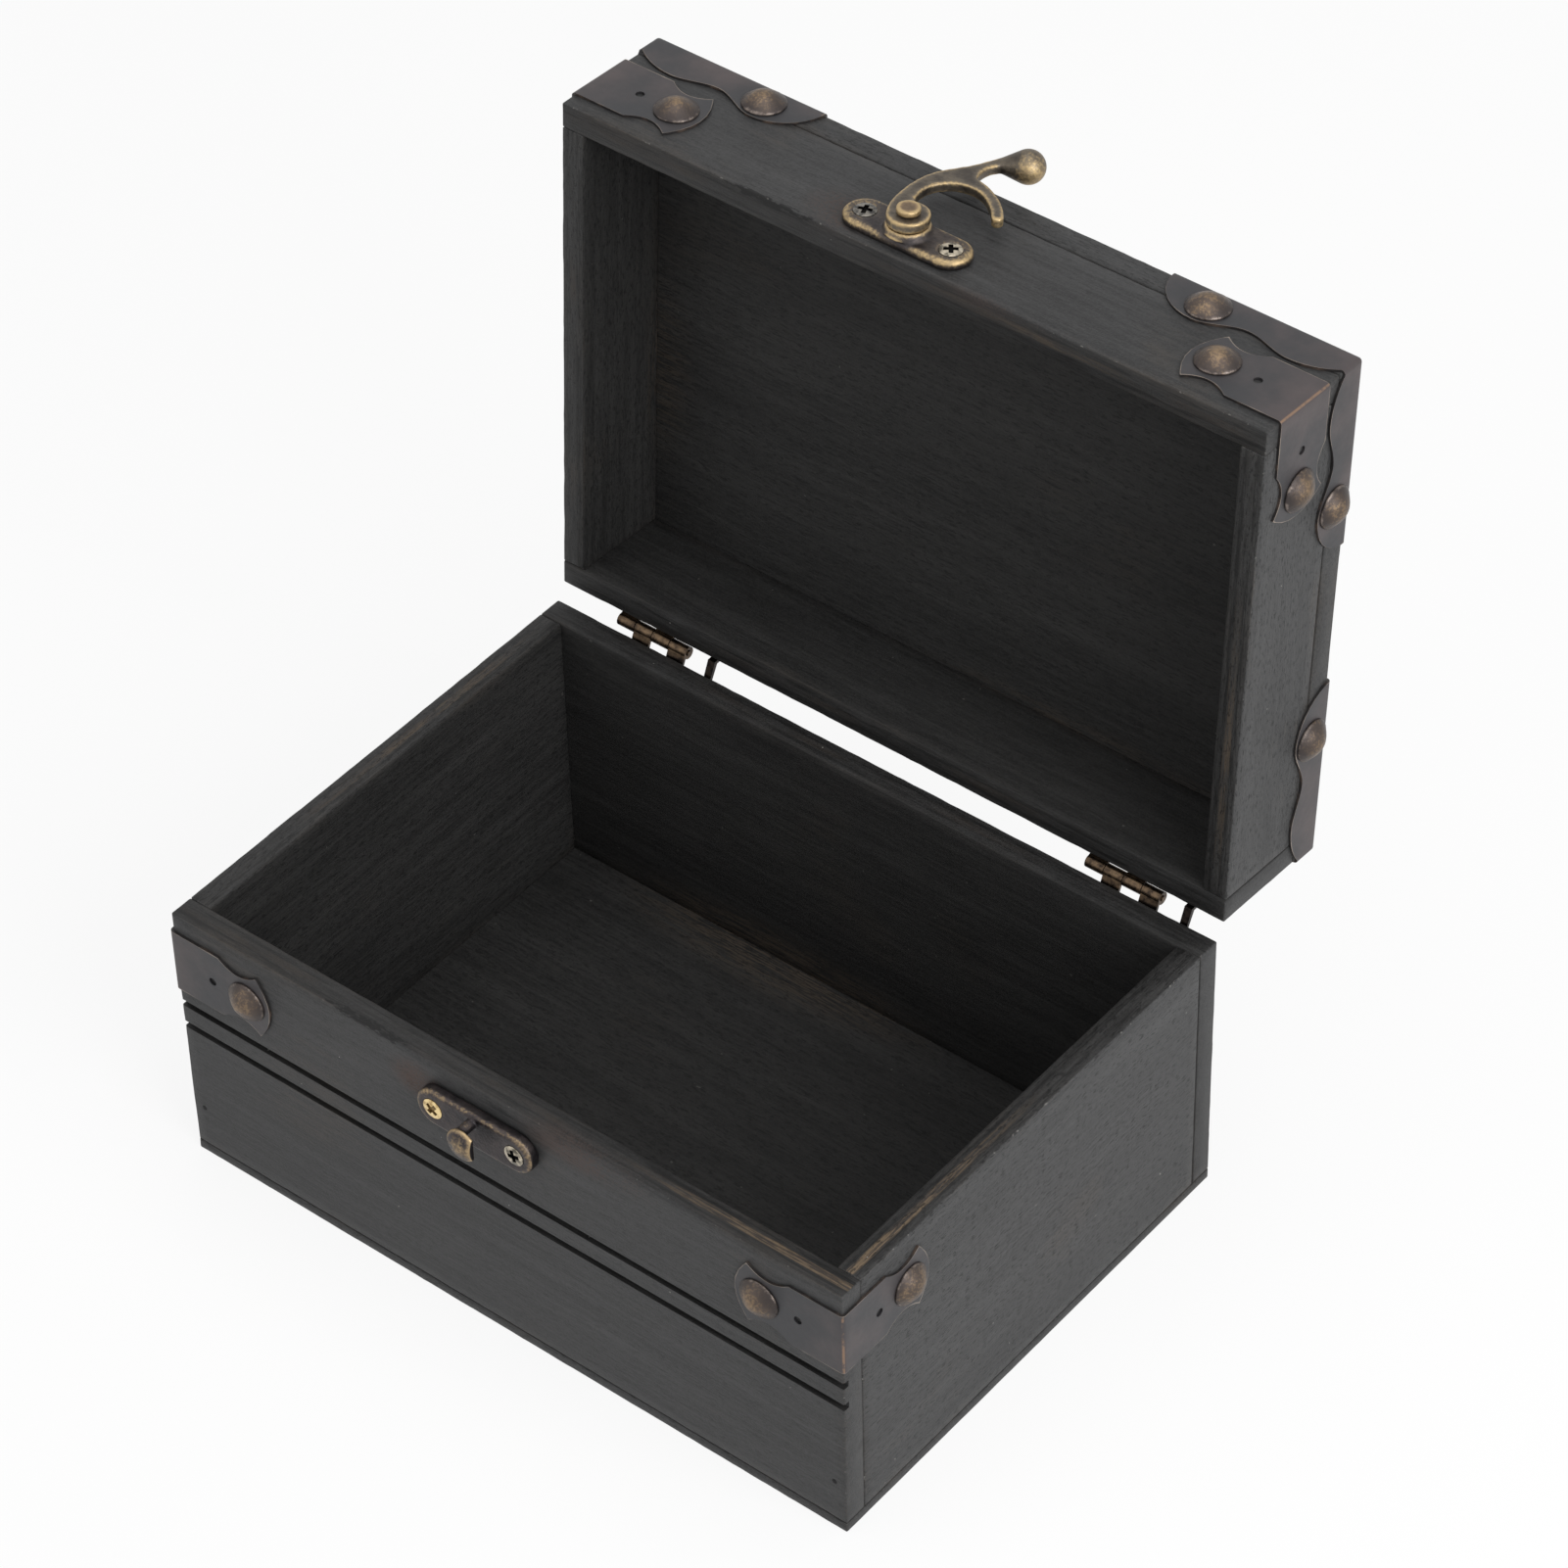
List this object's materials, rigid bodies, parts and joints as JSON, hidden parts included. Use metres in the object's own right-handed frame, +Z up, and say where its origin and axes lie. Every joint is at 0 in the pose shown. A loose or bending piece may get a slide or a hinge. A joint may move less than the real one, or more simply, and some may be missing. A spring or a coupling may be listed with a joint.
{
  "type": "treasure chest box",
  "caption": "Black-stained wooden keepsake box with a hinged flat lid, bronze corner straps and guards, domed studs and a swing-hook latch.",
  "frame": {"origin": "middle of the base's underside, which rests on the table", "axes": "+Z up, +X along the box's width to the right seen from the front, -Y towards the latch side"},
  "size_m": [0.1872, 0.1869, 0.2085],
  "materials": {
    "stained_wood": "black stain, open grain, brown wear on the rims",
    "bronze_sheet": "dark bronze lacquer, coppery on the folds",
    "stud_bronze": "antique bronze, rubbed bright in patches",
    "latch_brass": "antique brass, dark in the hollows",
    "screw_brass": "bright brass",
    "hinge_bronze": "dark copper bronze",
    "brad_steel": "black steel, sunk flush"
  },
  "bodies": {
    "base": {"base_back_panel": "stained_wood", "base_bottom_board": "stained_wood", "base_brads": "brad_steel", "base_front_panel": "stained_wood", "base_left_panel": "stained_wood", "base_right_panel": "stained_wood", "base_strap_left": "bronze_sheet", "base_strap_right": "bronze_sheet", "base_strap_studs": "stud_bronze", "hinge_base_screws": "screw_brass", "hinge_left_base_leaf": "hinge_bronze", "hinge_left_pin": "hinge_bronze", "hinge_right_base_leaf": "hinge_bronze", "hinge_right_pin": "hinge_bronze", "strike_plate": "latch_brass", "strike_screws": "screw_brass"},
    "lid": {"hinge_left_lid_leaf": "hinge_bronze", "hinge_lid_screws": "screw_brass", "hinge_right_lid_leaf": "hinge_bronze", "latch_plate": "latch_brass", "latch_rivet": "latch_brass", "latch_screws": "screw_brass", "lid_back_panel": "stained_wood", "lid_brads": "brad_steel", "lid_front_panel": "stained_wood", "lid_guard_back_left": "bronze_sheet", "lid_guard_back_right": "bronze_sheet", "lid_guard_front_left": "bronze_sheet", "lid_guard_front_right": "bronze_sheet", "lid_guard_studs": "stud_bronze", "lid_left_panel": "stained_wood", "lid_right_panel": "stained_wood", "lid_strap_left": "bronze_sheet", "lid_strap_right": "bronze_sheet", "lid_strap_studs": "stud_bronze", "lid_top_board": "stained_wood"},
    "latch_hook": {"latch_hook": "latch_brass"}
  },
  "joints": [
    {"name": "lid_hinge", "type": "hinge", "parent": "base", "child": "lid", "pos_m": [0, 0.06595, 0.07205], "axis": [1, 0, 0], "range_deg": [0, 93.8]},
    {"name": "hook_swing", "type": "hinge", "parent": "lid", "child": "latch_hook", "pos_m": [-0.0043, 0.08105, 0.20053], "axis": [0, -0.0663, -0.9978], "range_deg": [-60, 151]}
  ]
}
